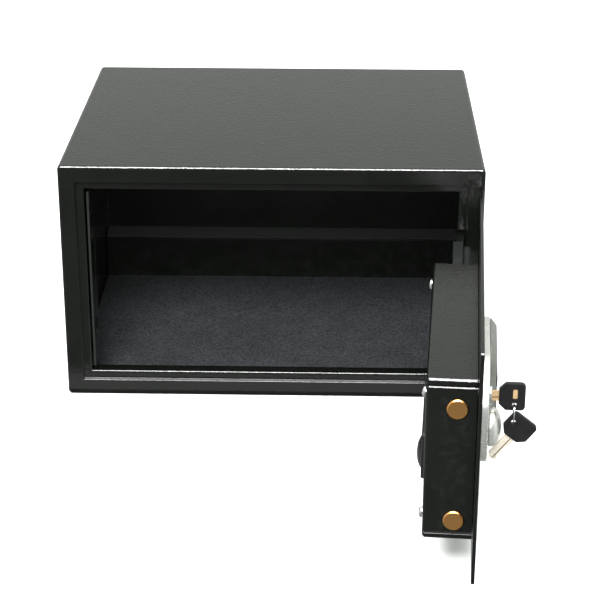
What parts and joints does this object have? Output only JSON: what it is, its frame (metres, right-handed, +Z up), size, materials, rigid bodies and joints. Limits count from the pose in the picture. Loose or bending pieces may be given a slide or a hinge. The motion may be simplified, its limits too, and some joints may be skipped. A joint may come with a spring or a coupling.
{
  "type": "hotel in-room safe",
  "caption": "Small black steel in-room safe, door standing open: bolts and mechanism cover inside, keypad, knob and keyed override lock with a spare key outside.",
  "frame": {"origin": "centre of the underside of the case, on the surface it stands on", "axes": "+X towards the hinge side, +Y towards the back of the case, +Z up; the door stands open towards -Y"},
  "size_m": [0.427, 0.703, 0.236],
  "materials": {
    "black_paint": "fine textured black powder coat, satin",
    "dark_felt": "dark blue-grey needle felt",
    "steel": "zinc-plated steel, satin",
    "chrome": "bright chrome",
    "brass": "brushed brass with a polished edge",
    "silver_trim": "silver lacquered plastic, glossy",
    "smoke_plastic": "dark grey-green moulded plastic, satin gloss",
    "black_plastic": "black moulded plastic",
    "display_glass": "dark clear display window",
    "circuit_board": "green solder mask",
    "rubber": "black rubber",
    "cell_sleeve": "printed cell sleeve, plain"
  },
  "bodies": {
    "case": {"case_shell": "black_paint", "back_panel": "black_paint", "anchor_plug_left": "rubber", "anchor_plug_right": "rubber", "door_stop": "black_paint", "hinge_side_stop": "black_paint", "strike_plate": "black_paint", "rear_channel": "black_paint", "floor_mat": "dark_felt", "hinge_bracket_upper": "steel", "hinge_pin_upper": "steel", "hinge_bracket_lower": "steel", "hinge_pin_lower": "steel"},
    "door": {"door_plate": "black_paint", "door_cover": "black_paint", "hinge_arm_upper": "black_paint", "hinge_arm_lower": "black_paint", "cover_screw_1": "chrome", "cover_screw_2": "chrome", "cover_screw_3": "chrome", "cover_screw_4": "chrome", "battery_tray": "black_plastic", "battery_1": "cell_sleeve", "battery_2": "cell_sleeve", "battery_3": "cell_sleeve", "battery_4": "cell_sleeve", "bolt_guide": "steel", "solenoid": "steel", "fascia_base": "silver_trim", "keypad_module": "smoke_plastic", "display_window": "display_glass", "control_board": "circuit_board", "spindle_bush": "brass", "lock_housing": "chrome"},
    "battery_lid": {"battery_cover": "black_plastic"},
    "knob": {"knob_cap": "silver_trim", "knob_shaft": "steel"},
    "bolts": {"bolt_carriage": "steel", "bolt_upper": "brass", "bolt_lower": "brass"},
    "plunger": {"solenoid_plunger": "steel"},
    "plug": {"lock_plug": "brass", "lock_cam": "steel"},
    "key": {"key_bow": "black_plastic", "key_blade": "brass"},
    "ring": {"key_ring": "chrome"},
    "spare_key": {"spare_key_bow": "black_plastic", "spare_key_blade": "brass"},
    "button_1": {"keypad_key_1": "black_plastic"},
    "button_2": {"keypad_key_2": "black_plastic"},
    "button_3": {"keypad_key_3": "black_plastic"},
    "button_4": {"keypad_key_4": "black_plastic"},
    "button_5": {"keypad_key_5": "black_plastic"},
    "button_6": {"keypad_key_6": "black_plastic"},
    "button_7": {"keypad_key_7": "black_plastic"},
    "button_8": {"keypad_key_8": "black_plastic"},
    "button_9": {"keypad_key_9": "black_plastic"},
    "button_clear": {"keypad_key_clear": "black_plastic"},
    "button_0": {"keypad_key_0": "black_plastic"},
    "button_lock": {"keypad_key_lock": "black_plastic"}
  },
  "joints": [
    {"name": "door_hinge", "type": "hinge", "parent": "case", "child": "door", "pos_m": [0.1925, -0.161, 0.116], "axis": [0, 0, 1], "range_deg": [-86.2, 3.8]},
    {"name": "knob_turn", "type": "hinge", "parent": "door", "child": "knob", "pos_m": [0.19264, -0.43812, 0.108], "axis": [0.9978, -0.0663, 0], "range_deg": [0, 90]},
    {"name": "bolt_slide", "type": "slide", "parent": "door", "child": "bolts", "axis": [-0.0663, -0.9978, 0], "range_m": [0, 0.01885]},
    {"name": "plunger_slide", "type": "slide", "parent": "door", "child": "plunger", "axis": [0.9978, -0.0663, 0], "range_m": [0, 0.0044]},
    {"name": "lock_turn", "type": "hinge", "parent": "door", "child": "plug", "pos_m": [0.18964, -0.43792, 0.1365], "axis": [0.9978, -0.0663, 0], "range_deg": [-90, 0]},
    {"name": "key_withdraw", "type": "slide", "parent": "plug", "child": "key", "axis": [0.9978, -0.0663, 0], "range_m": [0, 0.03]},
    {"name": "ring_swing", "type": "hinge", "parent": "key", "child": "ring", "pos_m": [0.2079, -0.43913, 0.12875], "axis": [0.0663, 0.9978, 0], "range_deg": [-25, 1]},
    {"name": "spare_swing", "type": "hinge", "parent": "ring", "child": "spare_key", "pos_m": [0.2079, -0.43913, 0.11435], "axis": [0.0663, 0.9978, 0], "range_deg": [-30, 1]},
    {"name": "battery_lid_off", "type": "slide", "parent": "door", "child": "battery_lid", "axis": [-0.9978, 0.0663, 0], "range_m": [0, 0.03]},
    {"name": "press_1", "type": "slide", "parent": "door", "child": "button_1", "axis": [-0.9978, 0.0663, 0], "range_m": [0, 0.0012], "stiffness_N_per_m": 300},
    {"name": "press_2", "type": "slide", "parent": "door", "child": "button_2", "axis": [-0.9978, 0.0663, 0], "range_m": [0, 0.0012], "stiffness_N_per_m": 300},
    {"name": "press_3", "type": "slide", "parent": "door", "child": "button_3", "axis": [-0.9978, 0.0663, 0], "range_m": [0, 0.0012], "stiffness_N_per_m": 300},
    {"name": "press_4", "type": "slide", "parent": "door", "child": "button_4", "axis": [-0.9978, 0.0663, 0], "range_m": [0, 0.0012], "stiffness_N_per_m": 300},
    {"name": "press_5", "type": "slide", "parent": "door", "child": "button_5", "axis": [-0.9978, 0.0663, 0], "range_m": [0, 0.0012], "stiffness_N_per_m": 300},
    {"name": "press_6", "type": "slide", "parent": "door", "child": "button_6", "axis": [-0.9978, 0.0663, 0], "range_m": [0, 0.0012], "stiffness_N_per_m": 300},
    {"name": "press_7", "type": "slide", "parent": "door", "child": "button_7", "axis": [-0.9978, 0.0663, 0], "range_m": [0, 0.0012], "stiffness_N_per_m": 300},
    {"name": "press_8", "type": "slide", "parent": "door", "child": "button_8", "axis": [-0.9978, 0.0663, 0], "range_m": [0, 0.0012], "stiffness_N_per_m": 300},
    {"name": "press_9", "type": "slide", "parent": "door", "child": "button_9", "axis": [-0.9978, 0.0663, 0], "range_m": [0, 0.0012], "stiffness_N_per_m": 300},
    {"name": "press_clear", "type": "slide", "parent": "door", "child": "button_clear", "axis": [-0.9978, 0.0663, 0], "range_m": [0, 0.0012], "stiffness_N_per_m": 300},
    {"name": "press_0", "type": "slide", "parent": "door", "child": "button_0", "axis": [-0.9978, 0.0663, 0], "range_m": [0, 0.0012], "stiffness_N_per_m": 300},
    {"name": "press_lock", "type": "slide", "parent": "door", "child": "button_lock", "axis": [-0.9978, 0.0663, 0], "range_m": [0, 0.0012], "stiffness_N_per_m": 300}
  ],
  "couplings": [
    {"joint": "knob_turn", "follows": "bolt_slide", "rad_per_m": 83.333}
  ]
}
